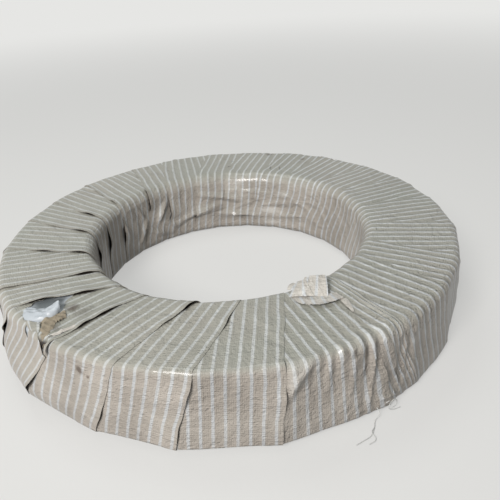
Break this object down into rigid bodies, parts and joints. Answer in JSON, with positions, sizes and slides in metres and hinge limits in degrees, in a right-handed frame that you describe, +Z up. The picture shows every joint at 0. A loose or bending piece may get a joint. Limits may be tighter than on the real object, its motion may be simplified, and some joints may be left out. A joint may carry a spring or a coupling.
{
  "type": "coil of steel strapping",
  "caption": "Ring-shaped coil of steel strapping lying flat, wound through its bore with lapped turns of striped, woven-backed kraft paper, worn and torn at one edge.",
  "frame": {"origin": "on the floor, at the middle of the bore: the centre of the underside of the coil as it lies flat", "axes": "+Z up along the bore's axis; -Y towards the side that the picture is taken from, +X to its right"},
  "size_m": [0.66, 0.66, 0.1092],
  "materials": {
    "strapping_steel": "satin",
    "liner_film": "glossy",
    "woven_kraft_paper": "matte"
  },
  "bodies": {
    "root": {"strapping_coil": "strapping_steel", "film_liner": "liner_film", "paper_wrap": "woven_kraft_paper"}
  },
  "joints": []
}
